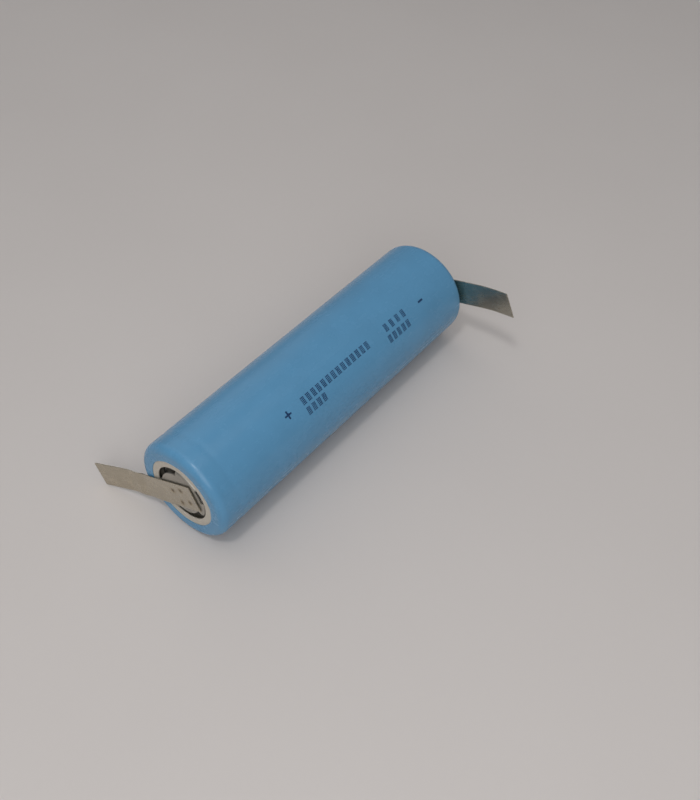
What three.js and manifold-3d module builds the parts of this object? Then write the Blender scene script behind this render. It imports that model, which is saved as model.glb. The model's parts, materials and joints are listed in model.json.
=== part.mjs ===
// A cylindrical lithium-ion cell, 18 mm class, lying on its side, with a nickel strip welded to each end.
// Millimetres. X runs along the cell towards the positive end, Z is up, and the cell rests on z = 0.
import * as THREE from 'three';
import { mergeVertices } from 'three/addons/utils/BufferGeometryUtils.js';
import Module from 'manifold-3d';

const wasm = await Module();
wasm.setup();

const DEG = Math.PI / 180;
const SEGMENTS = 40;            // facets around each turned piece, all in phase: nested walls stay parallel
const CORNER_STEPS = 3;         // straight pieces in each small rounded corner
const GAP = 0.02;               // clearance between pieces that touch on the real cell

// ---------------------------------------------------------------------------------------------------------
// Driving dimensions
// ---------------------------------------------------------------------------------------------------------
const SLEEVE = { radius: 9.2, wall: 0.1, corner: 1.42, opening: 6.5 };
const CAN = { wall: 0.22, floor: 0.3, footRadius: 6.3, footHeight: 0.12, lipRadius: 6.45 };
const CAN_RADIUS = SLEEVE.radius - SLEEVE.wall - GAP;
const CAN_BORE = CAN_RADIUS - CAN.wall;
const CAN_CORNER = SLEEVE.corner - SLEEVE.wall - GAP;
const BEAD = { height: 28.2, depth: 1.13, halfWidth: 0.75 };

// Heights along the cell, measured from its middle.
const BOTTOM = -32.5;           // annulus of the can's base, under the rolled-over sleeve
const CRIMP_TOP = 32.0;
const BOSS_TOP = 32.42;
const RING = { inner: 5.2, outer: 7.8, thickness: 0.23 };

// The lid: flat pieces stacked inside the gasket, from the crimp downwards.
const LID_RADIUS = 7.95;
const CRIMP_CORNER = 1.28;
const CRIMP_WALL = 0.25;
const GASKET = { topLip: 0.37, topInner: 6.7, bottomLip: 0.34, bottomInner: 6.9 };
const CAP = { sheet: 0.37, wall: 0.35, bossRadius: 5.1, bossRootRadius: 5.15, bossEdge: 0.2 };
const SLOT = { outerRadius: 5.4, sill: 0.05 };
const PTC = { inner: 5.4, outer: LID_RADIUS, thickness: 0.32 };
const VENT = { sheet: 0.3, hingeRadius: 3.4, hingeGap: 0.3, dishRadius: 1.5, dishSheet: 0.2 };
const SCORE = { radius: 5.2, halfWidth: 0.15, depth: 0.12 };
const CID_INSULATOR = { inner: 6.0, outer: LID_RADIUS, thickness: 0.32 };
const CID_PLATE = { thickness: 0.34, holes: 6, holeRadius: 0.8, holeCircle: 4.6 };
const STACK_GAP = 0.03;         // clearance between the lid's stacked pieces

// The winding: four sheets share one spiral.
const WINDING = { startRadius: 2.15, turns: 4.5, stepsPerTurn: 20, top: 26.6, bottom: -31.3 };
const SHEETS = {
  inner_separator: { thickness: 0.12, margin: 0, finish: { color: 0xe9eaea, roughness: 0.6 } },
  anode_sheet: { thickness: 0.4, margin: 0.5, finish: { color: 0x33302e, roughness: 0.8 } },
  outer_separator: { thickness: 0.12, margin: 0, finish: { color: 0xe4e6e8, roughness: 0.6 } },
  cathode_sheet: { thickness: 0.4, margin: 1.0, finish: { color: 0x24262a, roughness: 0.75 } },
};
const SHEET_GAP = 0.04;
const TAPE = { thickness: 0.08, halfWidth: 9 };
const PIN = { radius: 1.9, wall: 0.3, end: 0.5 };
const UPPER_INSULATOR = { inner: 3.4, outer: 8.6, thickness: 0.25 };
const LOWER_INSULATOR = { inner: 2.0, outer: 7.5, thickness: 0.25 };
const LEAD = { width: 4, thickness: 0.15, bend: 0.4, endGap: 0.05 };
const CATHODE_LEAD = { reach: 2.4, foldHeight: 0.4, tip: 1.2 };
const ANODE_LEAD = { tip: -1.5, bend: 0.2, clearance: 0.22 };
const INSULATOR_GAP = 0.1;      // between the winding and the insulator at each end of it

// The nickel strips, both cut to one length and creased just outside the sleeve. tip and crease are
// distances from the cell's axis. tilt is the welded leg's slope in the end's plane, and drop how far it
// lies below the axis. turn is the free leg's change of heading in its own plane, and bend how far it points
// away from the cell.
const STRIP = { length: 23.5, width: 5, thickness: 0.18, crease: 9.7, creaseGap: 0.3 };
const POSITIVE_STRIP = {
  outward: 1, tilt: 26 * DEG, drop: 0.16, tip: 19.7, turn: -12 * DEG, bend: 12.5 * DEG,
};
const NEGATIVE_STRIP = {
  outward: -1, tilt: 18 * DEG, drop: 0, tip: 20.7, turn: 0, bend: -6.5 * DEG,
};

const STEEL = { color: 0xa9a7a1, roughness: 0.33, metalness: 1 };
const ALUMINIUM = { color: 0xc4c6c8, roughness: 0.36, metalness: 1 };
const NICKEL = { color: 0x9c958a, roughness: 0.35, metalness: 1 };
const INSULATOR = { color: 0xd9d4c8, roughness: 0.65 };

// Vent slots through the edge of the cap's boss: angles around the cell, from +Y towards +Z.
const SLOT_ARCS = [
  { from: 97 * DEG, to: 184 * DEG, innerRadius: 4.15 },
  { from: 245 * DEG, to: 337 * DEG, innerRadius: 4.15 },
  { from: 13 * DEG, to: 44 * DEG, innerRadius: 4.6 },
];

// ---------------------------------------------------------------------------------------------------------
// Helpers
// ---------------------------------------------------------------------------------------------------------
const point = (radius, height) => new THREE.Vector2(radius, height);

// Points on a rounded corner. Angles are in the profile's plane: 0 points outwards, 90 degrees points up.
function corner(radius, height, size, fromDegrees, toDegrees, steps = CORNER_STEPS) {
  return Array.from({ length: steps + 1 }, (_, i) => {
    const angle = THREE.MathUtils.lerp(fromDegrees, toDegrees, i / steps) * DEG;
    return point(radius + size * Math.cos(angle), height + size * Math.sin(angle));
  });
}

// A turned solid. A profile that doesn't start on the axis is closed on itself.
function turned(profile) {
  const closed = profile[0].x > 0 ? [...profile, profile[0].clone()] : profile;
  return new THREE.LatheGeometry(closed, SEGMENTS);
}

function ringBetween(inner, outer, bottom, top) {
  return turned([point(inner, bottom), point(outer, bottom), point(outer, top), point(inner, top)]);
}

function flatRing({ inner, outer, thickness }, top) {
  return ringBetween(inner, outer, top - thickness, top);
}

// Shared corners merged and folded triangles dropped, so that it can be cut.
function toSolid(geometry) {
  const bare = geometry.clone();
  bare.deleteAttribute('normal');
  bare.deleteAttribute('uv');
  const merged = mergeVertices(bare, 1e-4);
  const triangles = [];
  const index = merged.index.array;
  for (let i = 0; i < index.length; i += 3) {
    const [a, b, c] = [index[i], index[i + 1], index[i + 2]];
    if (a !== b && b !== c && c !== a) triangles.push(a, b, c);
  }
  const vertProperties = merged.attributes.position.array;
  const triVerts = new Uint32Array(triangles);
  return new wasm.Manifold(new wasm.Mesh({ numProp: 3, vertProperties, triVerts }));
}

function toGeometry(solid) {
  const mesh = solid.getMesh();
  const geometry = new THREE.BufferGeometry();
  geometry.setAttribute('position', new THREE.BufferAttribute(mesh.vertProperties, 3));
  geometry.setIndex(new THREE.BufferAttribute(mesh.triVerts, 1));
  const flat = geometry.toNonIndexed();
  flat.computeVertexNormals();
  return flat;
}

function cut(geometry, cutters) {
  return toGeometry(cutters.reduce((solid, cutter) => solid.subtract(toSolid(cutter)), toSolid(geometry)));
}

function addPiece(parent, name, geometry, finish) {
  const mesh = new THREE.Mesh(geometry, new THREE.MeshStandardMaterial(finish));
  mesh.name = name;
  parent.add(mesh);
}

// Stands an extruded outline, drawn in X and Y, up along the cell's own axis, from bottom to top.
function extrudedAlongCell(shape, bottom, top) {
  const settings = { depth: top - bottom, bevelEnabled: false, curveSegments: 8 };
  const geometry = new THREE.ExtrudeGeometry(shape, settings);
  geometry.rotateX(-Math.PI / 2);
  geometry.translate(0, bottom, 0);
  return geometry;
}

// ---------------------------------------------------------------------------------------------------------
// Casing: sleeve, can and insulating ring
// ---------------------------------------------------------------------------------------------------------
const RING_BOTTOM = CRIMP_TOP + GAP;
const RING_TOP = RING_BOTTOM + RING.thickness;
const SLEEVE_TOP = RING_TOP + GAP + SLEEVE.wall;
const SLEEVE_BOTTOM = BOTTOM - GAP - SLEEVE.wall;

// The crimp curls the can's wall over about this centre, and the gasket inside follows it.
const CRIMP_CENTRE = point(CAN_RADIUS - CRIMP_CORNER, CRIMP_TOP - CRIMP_CORNER);

function shrinkSleeve() {
  const centre = SLEEVE.radius - SLEEVE.corner;
  const low = SLEEVE_BOTTOM + SLEEVE.corner;
  const high = SLEEVE_TOP - SLEEVE.corner;
  const inside = SLEEVE.corner - SLEEVE.wall;
  return turned([
    point(SLEEVE.opening, SLEEVE_BOTTOM),
    ...corner(centre, low, SLEEVE.corner, -90, 0),
    ...corner(centre, high, SLEEVE.corner, 0, 90),
    point(SLEEVE.opening, SLEEVE_TOP),
    point(SLEEVE.opening, SLEEVE_TOP - SLEEVE.wall),
    ...corner(centre, high, inside, 90, 0),
    ...corner(centre, low, inside, 0, -90),
    point(SLEEVE.opening, SLEEVE_BOTTOM + SLEEVE.wall),
  ]);
}

// The rolled bead is half an ellipse pressed into the wall. The same curve, grown by the wall, is its
// inside.
function bead(wallRadius, depth, halfWidth, upwards) {
  const steps = 2 * CORNER_STEPS;
  return Array.from({ length: steps + 1 }, (_, i) => {
    const angle = (i / steps) * Math.PI * (upwards ? 1 : -1);
    const height = BEAD.height - Math.cos(angle) * halfWidth * (upwards ? 1 : -1);
    return point(wallRadius - depth * Math.abs(Math.sin(angle)), height);
  });
}

function steelCan() {
  const foot = BOTTOM - CAN.footHeight;
  const cornerCentre = point(CAN_RADIUS - CAN_CORNER, BOTTOM + CAN_CORNER);
  return turned([
    point(0, foot),
    point(CAN.footRadius, foot),
    point(CAN.footRadius + CAN.footHeight, BOTTOM),
    ...corner(cornerCentre.x, cornerCentre.y, CAN_CORNER, -90, 0),
    ...bead(CAN_RADIUS, BEAD.depth, BEAD.halfWidth, true),
    ...corner(CRIMP_CENTRE.x, CRIMP_CENTRE.y, CRIMP_CORNER, 0, 90),
    point(CAN.lipRadius, CRIMP_TOP),
    point(CAN.lipRadius, CRIMP_TOP - CRIMP_WALL),
    ...corner(CRIMP_CENTRE.x, CRIMP_CENTRE.y, CRIMP_CORNER - CRIMP_WALL, 90, 12),
    point(CAN_BORE, CRIMP_CENTRE.y),
    ...bead(CAN_BORE, BEAD.depth, BEAD.halfWidth + CAN.wall, false),
    ...corner(cornerCentre.x, cornerCentre.y, CAN_CORNER - CAN.wall, 0, -90),
    point(cornerCentre.x - CAN.floor, BOTTOM + CAN.floor),
    point(0, BOTTOM + CAN.floor),
  ]);
}

// ---------------------------------------------------------------------------------------------------------
// Lid: gasket, cap, current limiter, vent disc and current breaker
// ---------------------------------------------------------------------------------------------------------
const GASKET_TOP = CRIMP_TOP - CRIMP_WALL - STACK_GAP;
const FLANGE_TOP = GASKET_TOP - GASKET.topLip - STACK_GAP;
const FLANGE_BOTTOM = FLANGE_TOP - CAP.sheet;
const PTC_TOP = FLANGE_BOTTOM - STACK_GAP;
const VENT_TOP = PTC_TOP - PTC.thickness - STACK_GAP;
const VENT_BOTTOM = VENT_TOP - VENT.sheet;
const CID_RING_TOP = VENT_BOTTOM - STACK_GAP;
const CID_PLATE_TOP = CID_RING_TOP - CID_INSULATOR.thickness - STACK_GAP;
const CID_PLATE_BOTTOM = CID_PLATE_TOP - CID_PLATE.thickness;
const GASKET_FLOOR_TOP = CID_PLATE_BOTTOM - STACK_GAP;
const GASKET_BOTTOM = GASKET_FLOOR_TOP - GASKET.bottomLip;

function crimpGasket() {
  const inner = LID_RADIUS + STACK_GAP;
  const outerCorner = GASKET_TOP - CRIMP_CENTRE.y;
  const outer = CRIMP_CENTRE.x + outerCorner;
  return turned([
    point(GASKET.bottomInner, GASKET_BOTTOM),
    point(outer - GASKET.bottomLip, GASKET_BOTTOM),
    point(outer, GASKET_FLOOR_TOP),
    ...corner(CRIMP_CENTRE.x, CRIMP_CENTRE.y, outerCorner, 0, 90),
    point(GASKET.topInner, GASKET_TOP),
    point(GASKET.topInner, GASKET_TOP - GASKET.topLip),
    point(inner, GASKET_TOP - GASKET.topLip),
    point(inner, GASKET_FLOOR_TOP),
    point(GASKET.bottomInner, GASKET_FLOOR_TOP),
  ]);
}

// A prism over part of a ring. Its angles are measured around the finished cell, from +Y towards +Z.
function ringSector(inner, outer, bottom, top, from, to) {
  const shape = new THREE.Shape();
  shape.absarc(0, 0, outer, from, to, false);
  shape.absarc(0, 0, inner, to, from, true);
  shape.closePath();
  const geometry = extrudedAlongCell(shape, bottom, top);
  geometry.rotateY(Math.PI);
  return geometry;
}

// A pressed cap: a flat boss on a flange, with slots from just above the flange out through the boss's edge.
function positiveCap() {
  const underside = BOSS_TOP - CAP.wall;
  const insideEdge = CAP.bossRadius - CAP.wall - CAP.bossEdge / 2;
  const body = turned([
    point(0, underside),
    point(insideEdge, underside),
    point(CAP.bossRootRadius - CAP.wall, FLANGE_BOTTOM),
    point(LID_RADIUS, FLANGE_BOTTOM),
    point(LID_RADIUS, FLANGE_TOP),
    point(CAP.bossRootRadius, FLANGE_TOP),
    ...corner(CAP.bossRadius - CAP.bossEdge, BOSS_TOP - CAP.bossEdge, CAP.bossEdge, 0, 90),
    point(0, BOSS_TOP),
  ]);
  const sill = FLANGE_TOP + SLOT.sill;
  const aboveBoss = BOSS_TOP + CAP.wall;
  const slots = SLOT_ARCS.map(({ from, to, innerRadius }) =>
    ringSector(innerRadius, SLOT.outerRadius, sill, aboveBoss, from, to));
  return cut(body, slots);
}

function ventDisc() {
  const inner = VENT.hingeRadius + VENT.hingeGap / 2;
  return turned([
    point(inner, VENT_BOTTOM),
    point(LID_RADIUS, VENT_BOTTOM),
    point(LID_RADIUS, VENT_TOP),
    point(SCORE.radius + SCORE.halfWidth, VENT_TOP),
    point(SCORE.radius, VENT_TOP - SCORE.depth),
    point(SCORE.radius - SCORE.halfWidth, VENT_TOP),
    point(inner, VENT_TOP),
  ]);
}

// The middle of the vent disc dishes down to its weld on the breaker plate. Under pressure it snaps
// outwards.
function ventDiaphragm() {
  const outer = VENT.hingeRadius - VENT.hingeGap / 2;
  const weld = CID_PLATE_TOP + STACK_GAP;
  return turned([
    point(0, weld),
    point(VENT.dishRadius, weld),
    point(outer, VENT_BOTTOM),
    point(outer, VENT_TOP),
    point(VENT.dishRadius, weld + VENT.dishSheet),
    point(0, weld + VENT.dishSheet),
  ]);
}

function breakerPlate() {
  const disc = turned([
    point(0, CID_PLATE_BOTTOM),
    point(LID_RADIUS, CID_PLATE_BOTTOM),
    point(LID_RADIUS, CID_PLATE_TOP),
    point(0, CID_PLATE_TOP),
  ]);
  const throughPlate = 3 * CID_PLATE.thickness;
  const centreHeight = (CID_PLATE_TOP + CID_PLATE_BOTTOM) / 2;
  const holes = Array.from({ length: CID_PLATE.holes }, (_, i) => {
    const angle = (i / CID_PLATE.holes) * 2 * Math.PI;
    const hole = new THREE.CylinderGeometry(CID_PLATE.holeRadius, CID_PLATE.holeRadius, throughPlate, 12);
    const onCircle = point(CID_PLATE.holeCircle * Math.cos(angle), CID_PLATE.holeCircle * Math.sin(angle));
    hole.translate(onCircle.x, centreHeight, onCircle.y);
    return hole;
  });
  return cut(disc, holes);
}

// ---------------------------------------------------------------------------------------------------------
// Winding: two electrodes and two separators on one spiral, with the pieces that close and insulate it
// ---------------------------------------------------------------------------------------------------------
const SHEET_LIST = Object.entries(SHEETS);
const PITCH = SHEET_LIST.reduce((sum, [, sheet]) => sum + sheet.thickness + SHEET_GAP, 0);
const WINDING_RADIUS = WINDING.startRadius + PITCH * (WINDING.turns + 1) - SHEET_GAP;

function spiral(startRadius) {
  const steps = WINDING.turns * WINDING.stepsPerTurn;
  return Array.from({ length: steps + 1 }, (_, i) => {
    const turns = i / WINDING.stepsPerTurn;
    const radius = startRadius + PITCH * turns;
    return point(radius * Math.cos(turns * 2 * Math.PI), radius * Math.sin(turns * 2 * Math.PI));
  });
}

function woundSheet(startRadius, thickness, margin) {
  const outline = [...spiral(startRadius + thickness), ...spiral(startRadius).reverse()];
  return extrudedAlongCell(new THREE.Shape(outline), WINDING.bottom + margin, WINDING.top - margin);
}

// A bent strip of foil: its centre line, drawn along the cell, given a thickness and a width.
function bentStrip(centreLine) {
  const half = LEAD.thickness / 2;
  const last = centreLine.length - 1;
  const offset = (side) => centreLine.map((p, i) => {
    const before = centreLine[Math.max(i - 1, 0)];
    const after = centreLine[Math.min(i + 1, last)];
    const into = p.clone().sub(before).normalize();
    const out = after.clone().sub(p).normalize();
    const along = (i === 0 ? out : i === last ? into : into.clone().add(out)).normalize();
    const scale = (i === 0 || i === last) ? 1 : 1 / along.dot(out);
    return point(p.x - along.y * half * side * scale, p.y + along.x * half * side * scale);
  });
  const shape = new THREE.Shape([...offset(-1), ...offset(1).reverse()]);
  const geometry = new THREE.ExtrudeGeometry(shape, { depth: LEAD.width, bevelEnabled: false });
  geometry.translate(0, 0, -LEAD.width / 2);
  return geometry;
}

// The cathode's lead leaves the winding's edge, folds over once and comes back to its weld under the plate.
function cathodeLead() {
  const weld = CID_PLATE_BOTTOM - GAP - LEAD.thickness / 2;
  const { reach, tip } = CATHODE_LEAD;
  const fold = (WINDING.top + weld) / 2 + CATHODE_LEAD.foldHeight;
  return bentStrip([
    point(reach, WINDING.top + LEAD.endGap),
    point(reach, fold - LEAD.bend),
    point(reach - LEAD.bend, fold),
    point(LEAD.bend - reach, fold),
    point(-reach, fold + LEAD.bend),
    point(LEAD.bend - reach, weld),
    point(tip, weld),
  ]);
}

// The anode's lead comes down outside the lower insulator and turns in flat across the can's floor.
function anodeLead() {
  const flat = BOTTOM + CAN.floor + GAP + LEAD.thickness / 2;
  const edge = LOWER_INSULATOR.outer + ANODE_LEAD.clearance;
  return bentStrip([
    point(ANODE_LEAD.tip, flat),
    point(edge - ANODE_LEAD.bend, flat),
    point(edge, flat + ANODE_LEAD.bend),
    point(edge, WINDING.bottom - LEAD.endGap),
  ]);
}

function centrePin() {
  return ringBetween(PIN.radius - PIN.wall, PIN.radius, WINDING.bottom + PIN.end, WINDING.top - PIN.end);
}

function closingTape() {
  const inner = WINDING_RADIUS + SHEET_GAP;
  return ringBetween(inner, inner + TAPE.thickness, -TAPE.halfWidth, TAPE.halfWidth);
}

// ---------------------------------------------------------------------------------------------------------
// Nickel strips
// ---------------------------------------------------------------------------------------------------------
// In the strip's own axes X runs from the weld to the free tip, Y lies across and Z points out of the cell.
function stripGroup(setting, innerFace) {
  const along = new THREE.Vector3(0, -Math.cos(setting.tilt), -Math.sin(setting.tilt));
  along.multiplyScalar(setting.outward);
  const out = new THREE.Vector3(setting.outward, 0, 0);
  const across = out.clone().cross(along);
  const group = new THREE.Group();
  group.quaternion.setFromRotationMatrix(new THREE.Matrix4().makeBasis(along, across, out));
  group.position.set(innerFace + setting.outward * STRIP.thickness / 2, 0, SLEEVE.radius);
  group.position.addScaledVector(across, setting.drop);
  return group;
}

// One leg, whose ends are cut out of square by the given slopes.
function stripLeg(from, to, fromSlope, toSlope) {
  const half = STRIP.width / 2;
  const shape = new THREE.Shape([
    point(from - fromSlope * half, half),
    point(from + fromSlope * half, -half),
    point(to + toSlope * half, -half),
    point(to - toSlope * half, half),
  ]);
  const geometry = new THREE.ExtrudeGeometry(shape, { depth: STRIP.thickness, bevelEnabled: false });
  geometry.translate(0, 0, -STRIP.thickness / 2);
  return geometry;
}

// Where the strip turns, the crease halves the turn. Half of the crease's gap lies on each side of it.
function addStrip(parent, name, setting, innerFace) {
  const group = stripGroup(setting, innerFace);
  const crease = new THREE.Group();
  crease.position.x = STRIP.crease;
  crease.rotation.set(0, -setting.bend, setting.turn, 'ZYX');
  const mitre = Math.tan(setting.turn / 2);
  const halfGap = STRIP.creaseGap / 2;
  const weldedLeg = stripLeg(setting.tip - STRIP.length, STRIP.crease - halfGap, 0, mitre);
  const freeLeg = stripLeg(halfGap, setting.tip - STRIP.crease, -mitre, 0);
  addPiece(group, `${name}_welded_leg`, weldedLeg, NICKEL);
  addPiece(crease, `${name}_free_leg`, freeLeg, NICKEL);
  group.add(crease);
  parent.add(group);
}

// ---------------------------------------------------------------------------------------------------------
// Assembly
// ---------------------------------------------------------------------------------------------------------
const battery = new THREE.Group();

// Turned pieces are drawn around Y; this group lays them along X, at their height above the surface.
const cell = new THREE.Group();
cell.rotation.z = -Math.PI / 2;
cell.position.z = SLEEVE.radius;
battery.add(cell);

addPiece(cell, 'shrink_sleeve', shrinkSleeve(), { color: 0x5d8aab, roughness: 0.32 });
addPiece(cell, 'top_insulating_ring', flatRing(RING, RING_TOP), { color: 0xb7b0a4, roughness: 0.7 });
addPiece(cell, 'steel_can', steelCan(), STEEL);

addPiece(cell, 'crimp_gasket', crimpGasket(), { color: 0xdfe2e2, roughness: 0.5 });
addPiece(cell, 'positive_cap', positiveCap(), STEEL);
addPiece(cell, 'current_limiter_ring', flatRing(PTC, PTC_TOP), { color: 0x2e2e30, roughness: 0.6 });
addPiece(cell, 'vent_disc', ventDisc(), ALUMINIUM);
addPiece(cell, 'vent_diaphragm', ventDiaphragm(), ALUMINIUM);
addPiece(cell, 'breaker_insulator', flatRing(CID_INSULATOR, CID_RING_TOP), INSULATOR);
addPiece(cell, 'breaker_plate', breakerPlate(), ALUMINIUM);
addPiece(cell, 'cathode_lead', cathodeLead(), ALUMINIUM);

const upperInsulatorTop = WINDING.top + INSULATOR_GAP + UPPER_INSULATOR.thickness;
addPiece(cell, 'upper_insulator', flatRing(UPPER_INSULATOR, upperInsulatorTop), INSULATOR);
let sheetRadius = WINDING.startRadius;
for (const [name, sheet] of SHEET_LIST) {
  addPiece(cell, name, woundSheet(sheetRadius, sheet.thickness, sheet.margin), sheet.finish);
  sheetRadius += sheet.thickness + SHEET_GAP;
}
addPiece(cell, 'closing_tape', closingTape(), { color: 0x3f7f52, roughness: 0.5 });
addPiece(cell, 'centre_pin', centrePin(), STEEL);
addPiece(cell, 'lower_insulator', flatRing(LOWER_INSULATOR, WINDING.bottom - INSULATOR_GAP), INSULATOR);
addPiece(cell, 'anode_lead', anodeLead(), NICKEL);

addStrip(battery, 'positive_strip', POSITIVE_STRIP, BOSS_TOP + GAP);
addStrip(battery, 'negative_strip', NEGATIVE_STRIP, BOTTOM - CAN.footHeight - GAP);

// The origin lies under the middle of the whole object.
const middle = new THREE.Box3().setFromObject(battery, true).getCenter(new THREE.Vector3());
for (const child of battery.children) child.position.sub(new THREE.Vector3(middle.x, middle.y, 0));

export default battery;
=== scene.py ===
"""The looks of a cylindrical cell with a nickel strip at each end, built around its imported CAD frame.

Metres, in the CAD's frame: X runs along the cell towards the positive end, and Z is up. The cell rests on
z = 0. Angles around the cell run from +Y towards +Z.
"""
import json
import math
import random
from types import SimpleNamespace

import bpy
import numpy as np
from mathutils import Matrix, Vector, noise


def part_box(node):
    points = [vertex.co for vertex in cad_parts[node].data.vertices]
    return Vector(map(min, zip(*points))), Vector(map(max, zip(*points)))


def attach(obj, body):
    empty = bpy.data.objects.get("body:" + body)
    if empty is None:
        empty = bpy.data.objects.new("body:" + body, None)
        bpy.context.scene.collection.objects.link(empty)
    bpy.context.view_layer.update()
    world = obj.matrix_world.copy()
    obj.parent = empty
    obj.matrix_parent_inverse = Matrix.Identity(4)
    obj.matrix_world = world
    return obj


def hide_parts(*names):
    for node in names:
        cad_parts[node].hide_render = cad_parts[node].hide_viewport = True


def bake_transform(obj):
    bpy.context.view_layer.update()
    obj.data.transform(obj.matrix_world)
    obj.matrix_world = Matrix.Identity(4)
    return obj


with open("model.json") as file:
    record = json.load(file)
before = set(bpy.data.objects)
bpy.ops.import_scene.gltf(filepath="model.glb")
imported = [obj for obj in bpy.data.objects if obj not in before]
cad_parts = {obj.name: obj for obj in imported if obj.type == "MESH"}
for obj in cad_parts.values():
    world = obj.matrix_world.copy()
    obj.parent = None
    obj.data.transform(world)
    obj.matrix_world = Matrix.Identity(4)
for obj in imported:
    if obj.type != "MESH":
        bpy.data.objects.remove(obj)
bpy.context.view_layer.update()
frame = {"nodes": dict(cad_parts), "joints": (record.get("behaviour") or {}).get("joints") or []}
NODES = frame["nodes"]
JOINTS = {joint["name"]: joint for joint in frame["joints"]}
MM = 0.001
random.seed(18)

# ----------------------------------------------------------------------------------------------------------
# Measures taken from the frame
# ----------------------------------------------------------------------------------------------------------
SLEEVE_LOW, SLEEVE_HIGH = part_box("shrink_sleeve")
CELL_CENTRE = (SLEEVE_LOW + SLEEVE_HIGH) / 2
SLEEVE_RADIUS = (SLEEVE_HIGH.z - SLEEVE_LOW.z) / 2


def corners(node):
    """A node's corners at rest, one row each."""
    return np.array([v.co for v in NODES[node].data.vertices])


def radial_span(node, x=None):
    """The smallest and largest distance of a node's corners from the cell's axis, at x or anywhere."""
    points = corners(node)
    if x is not None:
        points = points[abs(points[:, 0] - x) < 0.005 * MM]
    radii = np.hypot(points[:, 1] - CELL_CENTRE.y, points[:, 2] - CELL_CENTRE.z)
    return float(radii.min()), float(radii.max())


OPENING = radial_span("shrink_sleeve")[0]
FILM = SLEEVE_RADIUS - radial_span("steel_can")[1]


# ----------------------------------------------------------------------------------------------------------
# Mesh helpers
# ----------------------------------------------------------------------------------------------------------
SHARP_FROM = math.radians(38)


def make_object(name, points, faces, uv=None):
    """A mesh object with smooth faces and creases kept sharp. uv holds one pair for each point."""
    mesh = bpy.data.meshes.new(name)
    mesh.from_pydata([tuple(p) for p in points], [], faces)
    mesh.update()
    mesh.shade_smooth()
    mesh.set_sharp_from_angle(angle=SHARP_FROM)
    if uv is not None:
        layer = mesh.uv_layers.new(name="Along")
        for loop in mesh.loops:
            layer.data[loop.index].uv = uv[loop.vertex_index]
    obj = bpy.data.objects.new(name, mesh)
    bpy.context.scene.collection.objects.link(obj)
    return obj


def arc(x, radius, size, start, end, steps=8):
    """Points (x, radius) on a rounded corner, which faces outwards at 0 degrees and along +X at 90."""
    angles = [math.radians(start + (end - start) * i / steps) for i in range(steps + 1)]
    return [(x + size * math.sin(a), radius + size * math.cos(a)) for a in angles]


def straight(start, end, steps):
    """Points from start up to, and not including, end."""
    return [tuple(s + (e - s) * i / steps for s, e in zip(start, end)) for i in range(steps)]


def around(x, radius, angle):
    return Vector((x, CELL_CENTRE.y + radius * math.cos(angle), CELL_CENTRE.z + radius * math.sin(angle)))


def turned(name, profile, segments=160, shape=None):
    """A solid of revolution about the cell's axis, from (x, radius) points.

    A profile that starts and ends on the axis gets a pole at each end; any other closes on itself.
    shape(x, radius, angle) may move each point a little, and returns its new x and radius."""
    poles = profile[0][1] == 0
    rings = profile[1:-1] if poles else profile
    points = []
    for x, radius in rings:
        for i in range(segments):
            angle = 2 * math.pi * i / segments
            place = shape(x, radius, angle) if shape else (x, radius)
            points.append(around(*place, angle))
    faces = []
    count = len(rings)
    for j in range(count - 1 if poles else count):
        low, high = j * segments, (j + 1) % count * segments
        for i in range(segments):
            k = (i + 1) % segments
            faces.append((low + i, low + k, high + k, high + i))
    if poles:
        for pole, ring, order in ((profile[0], 0, 1), (profile[-1], count - 1, -1)):
            points.append(around(pole[0], 0, 0))
            for i in range(segments):
                edge = (ring * segments + (i + 1) % segments, ring * segments + i)
                faces.append((len(points) - 1, *edge[::order]))
    return make_object(name, points, faces)


def apply_modifiers(obj):
    """Bakes an object's modifiers into its mesh."""
    bpy.context.view_layer.update()
    evaluated = obj.evaluated_get(bpy.context.evaluated_depsgraph_get())
    mesh = bpy.data.meshes.new_from_object(evaluated)
    obj.modifiers.clear()
    obj.data = mesh
    mesh.shade_smooth()
    mesh.set_sharp_from_angle(angle=SHARP_FROM)


def place(obj, material, node_slot, body="cell", replaced=()):
    """Gives a piece its material and its body, and hides the CAD nodes it stands for. Its node_slot is not
    used.

    A piece that spans two bodies gets a body of None here and is attached to neither."""
    obj.data.materials.clear()
    obj.data.materials.append(material)
    if replaced:
        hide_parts(*replaced)
    if body:
        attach(obj, body)


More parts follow.
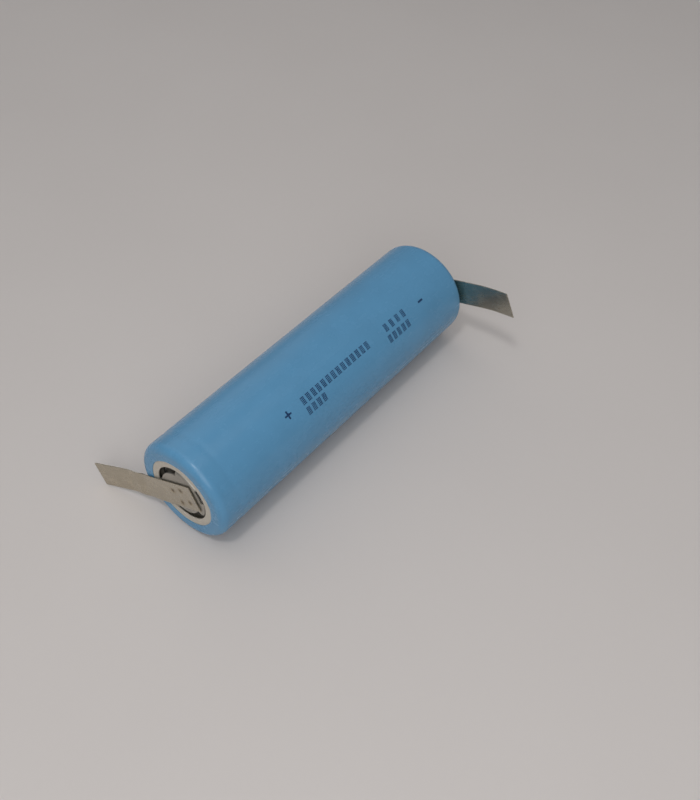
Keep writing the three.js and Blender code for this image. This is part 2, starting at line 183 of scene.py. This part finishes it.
# ----------------------------------------------------------------------------------------------------------
# Material helpers
# ----------------------------------------------------------------------------------------------------------
class Nodes:
    """A short way to write one material's node tree. Texture coordinates are in millimetres."""

    def __init__(self, name, uv=False):
        self.material = bpy.data.materials.new(name)
        self.material.use_nodes = True
        self.tree = self.material.node_tree
        self.shader = self.tree.nodes["Principled BSDF"]
        coordinates = self.tree.nodes.new("ShaderNodeTexCoord")
        scale = self.add("ShaderNodeVectorMath", operation="SCALE")
        scale.inputs["Scale"].default_value = 1 / MM
        self.link(coordinates.outputs["UV" if uv else "Object"], scale.inputs[0])
        self.place = scale.outputs["Vector"]

    def add(self, kind, **settings):
        node = self.tree.nodes.new(kind)
        for key, value in settings.items():
            setattr(node, key, value)
        return node

    def link(self, output, target):
        self.tree.links.new(output, target)

    def stretched(self, x, y, z):
        node = self.add("ShaderNodeMapping")
        node.inputs["Scale"].default_value = (x, y, z)
        self.link(self.place, node.inputs["Vector"])
        return node.outputs["Vector"]

    def noise(self, size_mm, detail=3, rough=0.5, vector=None, distortion=0):
        node = self.add("ShaderNodeTexNoise")
        node.inputs["Scale"].default_value = 1 / size_mm
        node.inputs["Detail"].default_value = detail
        node.inputs["Roughness"].default_value = rough
        node.inputs["Distortion"].default_value = distortion
        self.link(vector or self.place, node.inputs["Vector"])
        return node.outputs["Fac"]

    def ranged(self, value, low, high, from_low=0.3, from_high=0.7):
        node = self.add("ShaderNodeMapRange")
        node.inputs["From Min"].default_value = from_low
        node.inputs["From Max"].default_value = from_high
        node.inputs["To Min"].default_value = low
        node.inputs["To Max"].default_value = high
        self.link(value, node.inputs["Value"])
        return node.outputs["Result"]

    def ramp(self, value, *stops):
        """A colour ramp with stops (position, (r, g, b))."""
        node = self.add("ShaderNodeValToRGB")
        elements = node.color_ramp.elements
        while len(elements) < len(stops):
            elements.new(0.5)
        for element, (position, colour) in zip(elements, stops):
            element.position = position
            element.color = (*colour, 1)
        self.link(value, node.inputs["Fac"])
        return node.outputs["Color"]

    def mix(self, factor, first, second, blend="MIX"):
        node = self.add("ShaderNodeMix", data_type="RGBA", blend_type=blend)
        sockets = [s for s in node.inputs if s.enabled]
        for socket, value in zip(sockets, (factor, first, second)):
            if isinstance(value, bpy.types.NodeSocket):
                self.link(value, socket)
            else:
                socket.default_value = value if isinstance(value, float) else (*value, 1)
        return next(s for s in node.outputs if s.enabled)

    def math(self, operation, first, second):
        node = self.add("ShaderNodeMath", operation=operation)
        for socket, value in zip(node.inputs, (first, second)):
            if isinstance(value, bpy.types.NodeSocket):
                self.link(value, socket)
            else:
                socket.default_value = value
        return node.outputs["Value"]

    def bump(self, height, depth_mm, onto=None):
        node = self.add("ShaderNodeBump")
        node.inputs["Strength"].default_value = 1
        node.inputs["Distance"].default_value = depth_mm * MM
        self.link(height, node.inputs["Height"])
        if onto:
            self.link(onto, node.inputs["Normal"])
        return node.outputs["Normal"]

    def finish(self, colour, roughness, normal=None, metallic=0.0, **sockets):
        self.link(colour, self.shader.inputs["Base Color"])
        self.link(roughness, self.shader.inputs["Roughness"])
        if normal:
            self.link(normal, self.shader.inputs["Normal"])
        self.shader.inputs["Metallic"].default_value = metallic
        for name, value in sockets.items():
            self.shader.inputs[name.replace("_", " ")].default_value = value
        return self.material


# ----------------------------------------------------------------------------------------------------------
# Materials
# ----------------------------------------------------------------------------------------------------------
SLEEVE_BLUE = (0.105, 0.2925, 0.490)
STEEL = (0.62, 0.60, 0.565)
CAP_PLATING = (0.50, 0.475, 0.425)
NICKEL = (0.515, 0.468, 0.378)
ALUMINIUM = (0.78, 0.785, 0.79)
INSULATOR = (0.74, 0.71, 0.64)


def tinted(colour, factor):
    return tuple(factor * c for c in colour)


def sleeve_film():
    """Shrunk film: even blue, faintly cloudy where it thinned, with a satin skin and soft drag marks."""
    m = Nodes("sleeve_film")
    cloud = m.ramp(m.noise(5, 3), (0.3, SLEEVE_BLUE), (0.7, tinted(SLEEVE_BLUE, 1.07)))
    specks = m.ranged(m.noise(0.35, 2), 0.0, 0.03, 0.62, 0.8)
    colour = m.mix(specks, cloud, tinted(SLEEVE_BLUE, 1.4))
    drag = m.noise(1, 3, vector=m.stretched(0.06, 0.9, 0.9))
    roughness = m.math("ADD", m.ranged(m.noise(2.2, 4), 0.22, 0.29), m.ranged(drag, -0.02, 0.03))
    skin = m.bump(m.noise(0.3, 3), 0.0008)
    normal = m.bump(drag, 0.001, skin)
    return m.finish(colour, roughness, normal, IOR=1.40)


def print_ink():
    """Sprayed navy ink, thin enough to show the film's tone in places."""
    m = Nodes("print_ink")
    colour = m.ramp(m.noise(0.12, 2), (0.35, (0.003, 0.020, 0.080)), (0.75, (0.008, 0.050, 0.150)))
    return m.finish(colour, m.ranged(m.noise(0.2, 2), 0.42, 0.6), m.bump(m.noise(0.08, 2), 0.002), IOR=1.4)


def pressed_paper(name, light, dark):
    """Hard insulating paper: short crossed fibres and a dull calendered face."""
    m = Nodes(name)
    one_way = m.noise(0.35, 4, 0.6, m.stretched(1, 6, 1), distortion=0.4)
    other_way = m.noise(0.35, 4, 0.6, m.stretched(1, 1, 6), distortion=0.4)
    fibres = m.math("MULTIPLY", one_way, other_way)
    base = m.ramp(fibres, (0.16, dark), (0.34, light))
    flecks = m.ranged(m.noise(0.16, 2), 0.0, 0.3, 0.66, 0.78)
    colour = m.mix(flecks, base, tinted(dark, 0.55))
    return m.finish(colour, m.ranged(fibres, 0.62, 0.8, 0.15, 0.35), m.bump(fibres, 0.02))


def moulded_polymer(name, colour, low, high, depth=0.006):
    """Plain moulded or cast plastic with a fine skin."""
    m = Nodes(name)
    mottled = m.ramp(m.noise(1.6, 4), (0.3, tinted(colour, 0.86)), (0.7, colour))
    return m.finish(mottled, m.ranged(m.noise(0.8, 3), low, high), m.bump(m.noise(0.15, 3), depth))


def turned_metal(name, colour, low, high, streaks=(5, 1, 1)):
    """Pressed or drawn sheet metal with faint streaks, scuffs and a slightly uneven plating tone."""
    m = Nodes(name)
    plating = m.ramp(m.noise(3, 4), (0.3, tinted(colour, 0.84)), (0.7, colour))
    streak = m.noise(0.25, 5, 0.6, m.stretched(*streaks))
    scuffs = m.ranged(m.noise(0.9, 6, 0.7), 0.0, 0.14, 0.55, 0.75)
    roughness = m.math("ADD", m.ranged(streak, low, high), scuffs)
    normal = m.bump(streak, 0.003, m.bump(m.noise(1.4, 3), 0.012))
    return m.finish(plating, roughness, normal, metallic=1.0)


def rolled_nickel():
    """Nickel strip: lines along its rolling direction, smudges, and a brown heat tint at each weld."""
    m = Nodes("rolled_nickel", uv=True)
    smudges = m.noise(2.6, 5, 0.6)
    base = m.ramp(smudges, (0.32, tinted(NICKEL, 0.9)), (0.68, tinted(NICKEL, 1.05)))
    heat = m.add("ShaderNodeAttribute", attribute_name="weld_heat").outputs["Fac"]
    oxide = m.ramp(heat, (0.10, (1.0, 1.0, 1.0)), (0.45, (0.84, 0.78, 0.68)), (0.85, (0.42, 0.38, 0.33)))
    colour = m.mix(1.0, base, oxide, "MULTIPLY")
    lines = m.noise(0.16, 5, 0.6, m.stretched(0.06, 1.4, 1))
    marks = m.noise(0.5, 2, 0.5, m.stretched(0.25, 3, 1), distortion=0.8)
    scratches = m.ranged(marks, 0.0, 0.12, 0.68, 0.74)
    satin = m.math("ADD", m.ranged(lines, 0.19, 0.28), m.ranged(smudges, -0.03, 0.06))
    roughness = m.math("ADD", satin, scratches)
    normal = m.bump(lines, 0.0025, m.bump(m.noise(1.8, 3), 0.015))
    return m.finish(colour, roughness, normal, metallic=1.0)


def coated_foil(name, light, dark):
    """An electrode's dried coating: fine dark grain with rolled bands."""
    m = Nodes(name)
    grain = m.noise(0.06, 4, 0.7)
    bands = m.noise(1, 3, vector=m.stretched(0.15, 1, 1))
    colour = m.mix(m.ranged(bands, 0.0, 0.35), m.ramp(grain, (0.35, dark), (0.65, light)), dark)
    return m.finish(colour, m.ranged(grain, 0.6, 0.85), m.bump(grain, 0.004))


# ----------------------------------------------------------------------------------------------------------
# Casing
# ----------------------------------------------------------------------------------------------------------
BEAD_CENTRE = SLEEVE_HIGH.x - 4.17 * MM     # the can's rolled groove
BEAD_DEPTH = 1.13 * MM
SAG_DEPTH = 0.05 * MM                       # of the film that bridges the groove
SAG_WIDTH = 0.65 * MM
FILM_SWELL = 0.012 * MM                     # how far the film's surface wanders
LAY_FLAT_CREASES = (-38, 142)               # where the film was folded flat, in degrees around the cell
CREASE_ANGLE = 0.02                         # how far a crease reaches to each side, in radians
GATHERED = 0.9 * MM                         # how far the film is gathered at its rims
INK_THICKNESS = 0.010 * MM                  # of a printed dot at its middle
INK_EDGE = 0.002 * MM                       # and at its edge


def film_shape(x, radius, angle):
    """The shrunk film's unevenness: a sag over the groove, two faint creases, and gathers at the rims."""
    from_rim = min(x - SLEEVE_LOW.x, SLEEVE_HIGH.x - x)
    sag = SAG_DEPTH * math.exp(-((x - BEAD_CENTRE) / SAG_WIDTH) ** 2)
    crease = 0.0
    for degrees in LAY_FLAT_CREASES:
        off = math.remainder(angle - math.radians(degrees), 2 * math.pi)
        crease += FILM_SWELL * math.exp(-(off / CREASE_ANGLE) ** 2)
    towards = 1 if x > CELL_CENTRE.x else -1
    spot = Vector((2.2 * math.cos(angle), 2.2 * math.sin(angle), 3.0 * towards))
    uneven = noise.noise(spot)
    fine = noise.noise(spot * 4)
    opening = max(0.0, 1 - (radius - OPENING) / GATHERED)
    if opening and from_rim < 0.5 * MM:
        radius += (0.10 * uneven + 0.05 * fine) * MM * opening
        x -= towards * 0.02 * MM * abs(fine) * opening
    gathers = math.exp(-((from_rim - 1.1 * MM) / GATHERED) ** 2)
    swell = noise.noise(Vector(((x - CELL_CENTRE.x) / (9 * MM), 3 * math.cos(angle), 3 * math.sin(angle))))
    radius -= sag + FILM_SWELL * (1 + swell) - min(crease, FILM_SWELL)
    radius -= 0.02 * MM * gathers * (1 + noise.noise(spot * 6)) / 2
    return x, radius


def build_sleeve():
    """The film around the cell, rolled over both ends as far as the two openings."""
    shoulder = SLEEVE_RADIUS - radial_span("shrink_sleeve", SLEEVE_HIGH.x)[1]
    low, high = SLEEVE_LOW.x, SLEEVE_HIGH.x
    centre = SLEEVE_RADIUS - shoulder
    inner = shoulder - FILM
    fine_from = BEAD_CENTRE - 2 * MM
    outside = straight((low, OPENING), (low, centre), 8) + arc(low + shoulder, centre, shoulder, -90, 0, 14)
    outside += straight((low + shoulder, SLEEVE_RADIUS), (fine_from, SLEEVE_RADIUS), 60)[1:]
    outside += straight((fine_from, SLEEVE_RADIUS), (high - shoulder, SLEEVE_RADIUS), 24)
    outside += arc(high - shoulder, centre, shoulder, 0, 90, 14)
    outside += straight((high, centre), (high, OPENING), 8)[1:]
    inside = [(high, OPENING), (high - FILM * 0.5, OPENING - FILM * 0.3), (high - FILM, OPENING)]
    inside += arc(high - shoulder, centre, inner, 90, 0, 8) + arc(low + shoulder, centre, inner, 0, -90, 8)
    inside += [(low + FILM, OPENING), (low + FILM * 0.5, OPENING - FILM * 0.3)]
    sleeve = turned("heat_shrink_sleeve", outside + inside, 240, film_shape)
    place(sleeve, sleeve_film(), "sleeve_film", replaced=["shrink_sleeve"])


def build_print():
    """Generic dotted marks: a plus and a minus for polarity, and plain blocks where a maker would print."""
    pitch = 0.29 * MM
    points, faces = [], []

    def dot(x, angle, size):
        """One raised dot. size is its radius as a fraction of the pitch."""
        size *= pitch * random.uniform(0.92, 1.08)
        x += pitch * random.uniform(-0.06, 0.06)
        film_x, film_radius = film_shape(x, SLEEVE_RADIUS, angle)
        first = len(points)
        points.append(around(film_x, film_radius + INK_THICKNESS, angle))
        for i in range(8):
            turn = 2 * math.pi * i / 8
            step = size * math.sin(turn) / SLEEVE_RADIUS
            points.append(around(film_x + size * math.cos(turn), film_radius + INK_EDGE, angle + step))
        faces.extend((first, first + 1 + i, first + 1 + (i + 1) % 8) for i in range(8))
        faces.append(tuple(range(first + 8, first, -1)))

    def grid(x, degrees, columns, rows, size, inked=lambda column, row: True):
        """Columns along the cell and rows around it, centred at x from the cell's middle and at degrees."""
        for column in range(columns):
            for row in range(rows):
                if inked(column, row):
                    along = (column - (columns - 1) / 2) * pitch
                    turn = (row - (rows - 1) / 2) * pitch / SLEEVE_RADIUS
                    dot(CELL_CENTRE.x + x - along, math.radians(degrees) + turn, size)

    def blocks(x, degrees, count, step):
        """A line of plain blocks that starts at x and runs towards the negative end."""
        for i in range(count):
            grid(x - i * step, degrees, 3, 5, 0.46)

    plus = (13.6 * MM, 46.5)                # along the cell, and degrees around it
    minus = (-22.2 * MM, 46)
    first_line, second_line = 47.5, 35.5    # degrees around the cell
    step = 1.28 * MM
    grid(*plus, 5, 5, 0.66, lambda column, row: 2 in (column, row))
    grid(*minus, 4, 1, 0.72)
    blocks(9.7 * MM, first_line, 14, step)
    blocks(9.7 * MM, second_line, 4, step)
    blocks(-12.5 * MM, 48.5, 4, 1.6 * MM)
    blocks(-12.1 * MM, second_line, 5, step)
    marks = make_object("sleeve_print", points, faces)
    place(marks, print_ink(), "sleeve_film")


def build_ring():
    """The paper ring that lies on the can's crimped lip."""
    low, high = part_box("top_insulating_ring")
    inner, outer = radial_span("top_insulating_ring")
    edge = 0.04 * MM
    profile = arc(low.x + edge, inner + edge, edge, 270, 180, 3)
    profile += arc(high.x - edge, inner + edge, edge, 180, 90, 3)
    profile += straight((high.x, inner + 2 * edge), (high.x, outer - edge), 14)
    profile += arc(high.x - edge, outer - edge, edge, 90, 0, 3)
    profile += arc(low.x + edge, outer - edge, edge, 0, -90, 3)
    ring = turned("insulating_ring", profile, 200)
    paper = pressed_paper("ring_paper", (0.62, 0.575, 0.50), (0.50, 0.455, 0.385))
    place(ring, paper, "ring_paper", replaced=["top_insulating_ring"])


def groove(radius, half_width, towards):
    """The can's rolled groove as half an ellipse. towards is 1 along +X, -1 along -X."""
    return [(BEAD_CENTRE - towards * half_width * math.cos(a), radius - BEAD_DEPTH * math.sin(a))
            for a in np.linspace(0, math.pi, 17)]


def build_can():
    """The drawn can, from its flat foot over the rolled groove to the lip and back along its inside."""
    low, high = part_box("steel_can")
    radius = radial_span("steel_can")[1]
    foot = radial_span("steel_can", low.x)[1]
    lip = radial_span("steel_can", high.x)[0]
    crimp = radius - radial_span("steel_can", high.x)[1]
    base = SLEEVE_LOW.x + FILM
    shoulder = SLEEVE_RADIUS - radial_span("shrink_sleeve", SLEEVE_HIGH.x)[1] - FILM
    wall = 0.22 * MM
    floor = 0.3 * MM
    soft = 0.06 * MM
    roll = 0.1 * MM
    profile = [(low.x, 0), (low.x, foot * 0.5)]
    profile += arc(low.x + soft, foot - soft, soft, -90, -30, 3) + [(base, foot + base - low.x)]
    profile += arc(base + shoulder, radius - shoulder, shoulder, -90, 0, 10)
    profile += groove(radius, 0.75 * MM, 1)
    profile += arc(high.x - crimp, radius - crimp, crimp, 0, 90, 10)
    profile += arc(high.x - roll, lip + roll, roll, 90, 270, 6)
    profile += arc(high.x - crimp, radius - crimp, crimp - 0.25 * MM, 90, 10, 8)
    profile += groove(radius - wall, 0.97 * MM, -1)
    profile += arc(base + shoulder, radius - shoulder, shoulder - wall, 0, -90, 8)
    profile += [(base + floor, radius - shoulder - floor), (base + floor, 0)]
    can = turned("can", profile, 160)
    place(can, turned_metal("can_steel", STEEL, 0.26, 0.38), "can_steel", replaced=["steel_can"])


# ----------------------------------------------------------------------------------------------------------
# Positive cap
# ----------------------------------------------------------------------------------------------------------
CAP_SHEET = 0.35 * MM
BOSS_RADIUS = 5.1 * MM      # of its face
ROOT_RADIUS = 5.15 * MM     # where its wall meets the flange
# The vent slots, as (from and to in whole degrees, inner radius).
SLOTS = ((97, 184, 4.15 * MM), (242, 337, 3.85 * MM), (13, 44, 4.6 * MM))


def cap_profile():
    """The cap's middle surface from its axis outwards, as (x, radius), and where its flange starts."""
    low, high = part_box("positive_cap")
    flange = radial_span("positive_cap")[1]
    boss = BOSS_RADIUS - CAP_SHEET / 2
    root = ROOT_RADIUS - CAP_SHEET / 2
    top = high.x - CAP_SHEET / 2
    bottom = low.x + CAP_SHEET / 2
    bend = 0.28 * MM
    rings = [0, *sorted({inner for _, _, inner in SLOTS}), boss - bend]
    profile = [p for r, further in zip(rings, rings[1:]) for p in straight((top, r), (top, further), 4)]
    profile += arc(top - bend, boss - bend, bend, 90, 0, 6)
    profile += straight((top - bend, boss), (bottom + bend, root), 8)[1:]
    profile += arc(bottom + bend, root + bend, bend, 180, 270, 5)
    flange_start = len(profile) - 1
    profile += straight(profile[-1], (bottom, flange - CAP_SHEET / 2), 6)[1:] + [(bottom, flange)]
    return profile, flange_start


def build_cap():
    """The cap is a pressed sheet: its middle surface is turned, opened at the slots, and thickened."""
    profile, flange_start = cap_profile()
    segments = 360          # one for each degree, as the slots are given
    points = [around(*profile[0], 0)]
    for x, radius in profile[1:]:
        points += [around(x, radius, 2 * math.pi * i / segments) for i in range(segments)]
    faces = [(0, 1 + i, 1 + (i + 1) % segments) for i in range(segments)]
    for j in range(1, len(profile) - 1):
        for i in range(segments):
            in_slot = any(a <= i < b and profile[j][1] >= inner for a, b, inner in SLOTS)
            if j >= flange_start or not in_slot:
                k = (i + 1) % segments
                near, far = 1 + (j - 1) * segments, 1 + j * segments
                faces.append((near + i, far + i, far + k, near + k))
    cap = make_object("positive_cap_pressing", points, faces)
    thick = cap.modifiers.new("thick", "SOLIDIFY")
    thick.thickness = CAP_SHEET
    thick.offset = 0
    soft = cap.modifiers.new("soft", "BEVEL")
    soft.width = 0.04 * MM
    soft.segments = 2
    soft.limit_method = "ANGLE"
    soft.angle_limit = math.radians(50)
    apply_modifiers(cap)
    metal = turned_metal("cap_steel", CAP_PLATING, 0.46, 0.58, streaks=(1, 1, 1))
    place(cap, metal, "cap_steel", replaced=["positive_cap"])


# ----------------------------------------------------------------------------------------------------------
# Nickel strips
# ----------------------------------------------------------------------------------------------------------
CREASE_LENGTH = 1.6 * MM
WELD_CENTRE = (3.65 * MM, -0.17 * MM)           # from the welded end, and across from the strip's middle
WELD_HEAT = 0.5 * MM                            # how far a weld's heat tint reaches
PIT_DEPTH, PIT_SIZE = 0.055 * MM, 0.28 * MM     # where the electrode pressed the strip
RIM_HEIGHT, RIM_RADIUS = 0.02 * MM, 0.48 * MM   # of the metal raised around a pit
EDGE_LIFT, EDGE_WIDTH = 0.10 * MM, 0.8 * MM     # how the welded leg's free edges spring off the cell
RIPPLE = 0.018 * MM                             # of the tail's face
# How far out of its straight CAD leg each tail points, as (fraction of its length, degrees outwards).
POSITIVE_TAIL = ((0, 4), (0.05, 4), (0.21, -11), (0.37, 1), (1, 2))
NEGATIVE_TAIL = ((0, 4), (0.33, 4), (0.67, -3), (1, -6))


def weld_spots():
    """Four spots in a slightly skewed square, as (from the welded end, across)."""
    along, across = WELD_CENTRE
    return [(along + i * 1.15 * MM + j * 0.55 * MM, across + j * 1.10 * MM - i * 0.21 * MM)
            for i in (-1, 1) for j in (-1, 1)]


def weld_relief(from_end, across):
    """Height and heat tint of the strip's outer face round the weld spots: a pit with a low rim."""
    height = heat = 0.0
    for spot_along, spot_across in weld_spots():
        away = math.hypot(from_end - spot_along, across - spot_across)
        if away < 2 * MM:
            heat = max(heat, math.exp(-(away / WELD_HEAT) ** 2))
            height -= PIT_DEPTH * math.exp(-(away / PIT_SIZE) ** 2)
            height += RIM_HEIGHT * math.exp(-((away - RIM_RADIUS) / (0.12 * MM)) ** 2)
    return height, heat


def strip_section(width, thick):
    """The outline across a strip with slightly rounded sheared edges, as (across, out of its face)."""
    rounding = 0.05 * MM
    half = width / 2 - rounding
    rise = thick / 2 - rounding
    flat = np.linspace(-half, half, 49)
    turns = [(math.radians(q), math.copysign(rise, q)) for q in (60, 30, 1, -1, -30, -60)]
    edge = [(half + rounding * math.cos(q), h + rounding * math.sin(q)) for q, h in turns]
    outer = [(a, thick / 2) for a in flat]
    inner = [(a, -thick / 2) for a in flat[::-1]]
    return outer + edge + inner + [(-a, h) for a, h in reversed(edge)]


def smooth_step(value, start, end):
    """Rises softly from 0 at start to 1 at end."""
    eased = np.clip((value - start) / (end - start), 0, 1)
    return eased ** 2 * (3 - 2 * eased)


def furthest(points):
    """The middle of the four corners furthest from the origin: a leg's outer end, seen from its crease."""
    distinct = np.unique(points.round(7), axis=0)
    order = np.argsort(np.linalg.norm(distinct, axis=1))
    return Vector(distinct[order[-4:]].mean(axis=0))


def measure_strip(side, outward):
    """What a strip's two CAD legs say: its pivot, its directions at the crease, its sizes and its angles."""
    pivot = Vector(JOINTS[f"{side}_strip_bend"]["pos_m"])
    welded = corners(f"{side}_strip_welded_leg") - np.array(pivot)
    tip = furthest(corners(f"{side}_strip_free_leg") - np.array(pivot))
    out = Vector((outward, 0, 0))
    along = -furthest(welded).normalized()
    across = along.cross(out)
    return SimpleNamespace(
        outward=outward,
        pivot=pivot,
        out=out,
        along=along,
        across=across,
        start=float((welded @ np.array(along)).min()),
        length=tip.length,
        width=float(np.ptp(welded @ np.array(across))),
        thick=float(np.ptp(welded @ np.array(out))),
        turn=math.atan2(tip.dot(across), tip.dot(along)),
        bend=math.asin(tip.dot(out) / tip.length))


def directions(strip, turn, bend, twist):
    """Ahead, sideways and out of the face, where the strip has turned in its plane, bent and twisted."""
    heading = strip.along * math.cos(turn) + strip.across * math.sin(turn)
    level = strip.across * math.cos(turn) - strip.along * math.sin(turn)
    ahead = heading * math.cos(bend) + strip.out * math.sin(bend)
    normal = strip.out * math.cos(bend) - heading * math.sin(bend)
    sideways = level * math.cos(twist) + normal * math.sin(twist)
    face = normal * math.cos(twist) - level * math.sin(twist)
    return ahead, sideways, face


def face_relief(strip, s, t, across, outer):
    """How far the strip's face stands off its flat shape, and its heat tint."""
    from_end = s - strip.start
    to_edge = min(strip.width / 2 - abs(across), from_end)
    over_cell = min(1.0, max(0.0, -s / (3 * MM)))
    lift = EDGE_LIFT * math.exp(-(to_edge / EDGE_WIDTH) ** 2) * over_cell
    wave = noise.noise(Vector((s / (2.4 * MM), across / (3 * MM), strip.outward)))
    ripple = RIPPLE * wave * min(1, 4 * t)
    relief, warm = weld_relief(from_end, across) if outer else (0.0, 0.0)
    return lift + relief + ripple, warm


def tube_faces(ring, count):
    """The faces of a closed tube of count rings with ring points each."""
    faces = []
    for j in range(count - 1):
        low, high = j * ring, (j + 1) * ring
        for i in range(ring):
            k = (i + 1) % ring
            faces.append((low + i, low + k, high + k, high + i))
    faces.append(tuple(range(ring))[::-1])
    faces.append(tuple(range((count - 1) * ring, count * ring)))
    return faces


def build_strip(side, outward, tail_bends, twist, skew):
    """One continuous strip over its welded leg, its crease and its free leg.

    s runs along it from the crease: negative over the cell, positive in the tail, where t is the fraction of
    the tail's length. outward is 1 where the end faces +X and -1 where it faces -X. The tail is twisted by
    twist at its tip, and its end is cut out of square by skew.
    """
    shape = measure_strip(side, outward)
    pivot = shape.pivot
    stations = np.linspace(shape.start, shape.length, 281)
    tail = np.clip(stations / shape.length, 0, 1)
    eased = smooth_step(stations, -CREASE_LENGTH / 2, CREASE_LENGTH / 2)
    extra = np.interp(tail, [t for t, _ in tail_bends], [math.radians(d) for _, d in tail_bends])
    section = strip_section(shape.width, shape.thick)
    middle = pivot + shape.along * shape.start
    points, uv, heat = [], [], []
    for s, t, ease, bend in zip(stations, tail, eased, (shape.bend + extra) * eased):
        ahead, sideways, face = directions(shape, shape.turn * ease, bend, twist * t)
        for a, h in section:
            relief, warm = face_relief(shape, s, t, a, h > 0)
            cut = skew * (a / shape.width) * max(0.0, (t - 0.8) / 0.2)
            points.append(middle + sideways * float(a) + face * float(h + relief) + ahead * float(cut))
            uv.append((float(s), float(a)))
            heat.append(warm)
        middle = middle + ahead * float(stations[1] - stations[0])
    faces = tube_faces(len(section), len(stations))
    if outward < 0:
        faces = [face[::-1] for face in faces]
    strip = make_object(f"{side}_nickel_strip", points, faces, uv)
    attribute = strip.data.attributes.new("weld_heat", "FLOAT", "POINT")
    attribute.data.foreach_set("value", heat)
    place(strip, NICKEL_FINISH, f"{side}_welded_nickel", body=None,
          replaced=[f"{side}_strip_welded_leg", f"{side}_strip_free_leg"])
    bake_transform(strip)


# ----------------------------------------------------------------------------------------------------------
# Assembly
# ----------------------------------------------------------------------------------------------------------
NICKEL_FINISH = rolled_nickel()
build_sleeve()
build_print()
build_ring()
build_can()
build_cap()
build_strip("positive", 1, POSITIVE_TAIL, twist=math.radians(2), skew=0.4 * MM)
build_strip("negative", -1, NEGATIVE_TAIL, twist=math.radians(-2), skew=-0.5 * MM)

INNER_MATERIALS = {
    "crimp_gasket": moulded_polymer("gasket_polymer", (0.80, 0.82, 0.82), 0.35, 0.5),
    "current_limiter_ring": coated_foil("limiter_composite", (0.06, 0.06, 0.065), (0.02, 0.02, 0.022)),
    "vent_disc": turned_metal("vent_aluminium", ALUMINIUM, 0.28, 0.4),
    "vent_diaphragm": turned_metal("diaphragm_aluminium", ALUMINIUM, 0.28, 0.4),
    "breaker_insulator": moulded_polymer("breaker_polymer", INSULATOR, 0.4, 0.55),
    "breaker_plate": turned_metal("breaker_aluminium", ALUMINIUM, 0.3, 0.42),
    "cathode_lead": turned_metal("lead_aluminium", ALUMINIUM, 0.25, 0.38),
    "upper_insulator": pressed_paper("upper_insulator_paper", INSULATOR, (0.6, 0.57, 0.5)),
    "inner_separator": moulded_polymer("inner_separator_film", (0.82, 0.83, 0.83), 0.5, 0.65, 0.003),
    "anode_sheet": coated_foil("anode_coating", (0.045, 0.043, 0.042), (0.018, 0.017, 0.017)),
    "outer_separator": moulded_polymer("outer_separator_film", (0.80, 0.815, 0.82), 0.5, 0.65, 0.003),
    "cathode_sheet": coated_foil("cathode_coating", (0.03, 0.032, 0.036), (0.012, 0.013, 0.015)),
    "closing_tape": moulded_polymer("tape_film", (0.06, 0.25, 0.10), 0.25, 0.38, 0.003),
    "centre_pin": turned_metal("pin_steel", STEEL, 0.28, 0.42),
    "lower_insulator": pressed_paper("lower_insulator_paper", INSULATOR, (0.6, 0.57, 0.5)),
    "anode_lead": turned_metal("lead_nickel", (0.6, 0.56, 0.5), 0.28, 0.4),
}
for node, material in INNER_MATERIALS.items():
    NODES[node].data.materials.clear()
    NODES[node].data.materials.append(material)

# ----------------------------------------------------------------------------------------------------------
# Stage, light and camera
# ----------------------------------------------------------------------------------------------------------
def build_floor():
    bpy.ops.mesh.primitive_grid_add(x_subdivisions=8, y_subdivisions=8, size=3)
    floor = bpy.context.object
    floor.name = "floor"
    m = Nodes("floor_paper")
    tone = m.ramp(m.noise(60, 3), (0.3, (0.640, 0.597, 0.574)), (0.7, (0.660, 0.617, 0.594)))
    floor.data.materials.append(m.finish(tone, m.ranged(m.noise(1.5, 3), 0.72, 0.85)))


def add_light(name, direction, distance, size, power):
    """A square lamp that faces the cell's middle."""
    light = bpy.data.lights.new(name, "AREA")
    light.size = size
    light.energy = power
    lamp = bpy.data.objects.new(name, light)
    bpy.context.scene.collection.objects.link(lamp)
    towards = Vector(direction).normalized()
    lamp.location = CELL_CENTRE + towards * distance
    lamp.rotation_mode = "QUATERNION"
    lamp.rotation_quaternion = towards.to_track_quat("Z", "Y")


def build_camera():
    """A view of the positive end and the printed side, from above."""
    azimuth, elevation = math.radians(128.88), math.radians(46.93)
    distance = 0.17678
    aside, above = 6.306 * MM, -3.627 * MM      # where the view's centre passes the cell's
    right = Vector((math.cos(azimuth), math.sin(azimuth), 0))
    back = Vector((math.sin(azimuth) * math.cos(elevation), -math.cos(azimuth) * math.cos(elevation),
                   math.sin(elevation)))
    up = back.cross(right)
    data = bpy.data.cameras.new("camera")
    data.lens = 45.36
    data.sensor_width = 36
    data.clip_start = 0.005
    camera = bpy.data.objects.new("camera", data)
    bpy.context.scene.collection.objects.link(camera)
    camera.location = CELL_CENTRE + right * aside + up * above + back * distance
    camera.rotation_mode = "QUATERNION"
    camera.rotation_quaternion = back.to_track_quat("Z", "Y")
    bpy.context.scene.camera = camera


build_floor()
add_light("window_light", (-0.15, -0.75, 0.65), 0.8, 0.7, 0.70)
add_light("overhead_light", (0.10, 0.05, 1.0), 0.45, 0.45, 0.44)
add_light("front_light", (0.62, 0.50, 0.60), 0.34, 0.22, 0.35)
add_light("ceiling_lamp", (0.38, 0.14, 0.91), 0.5, 0.06, 0.38)
world = bpy.data.worlds.new("studio")
world.use_nodes = True
world.node_tree.nodes["Background"].inputs["Color"].default_value = (0.97, 0.98, 1.0, 1)
world.node_tree.nodes["Background"].inputs["Strength"].default_value = 0.20
bpy.context.scene.world = world
bpy.context.scene.view_settings.view_transform = "Standard"
build_camera()
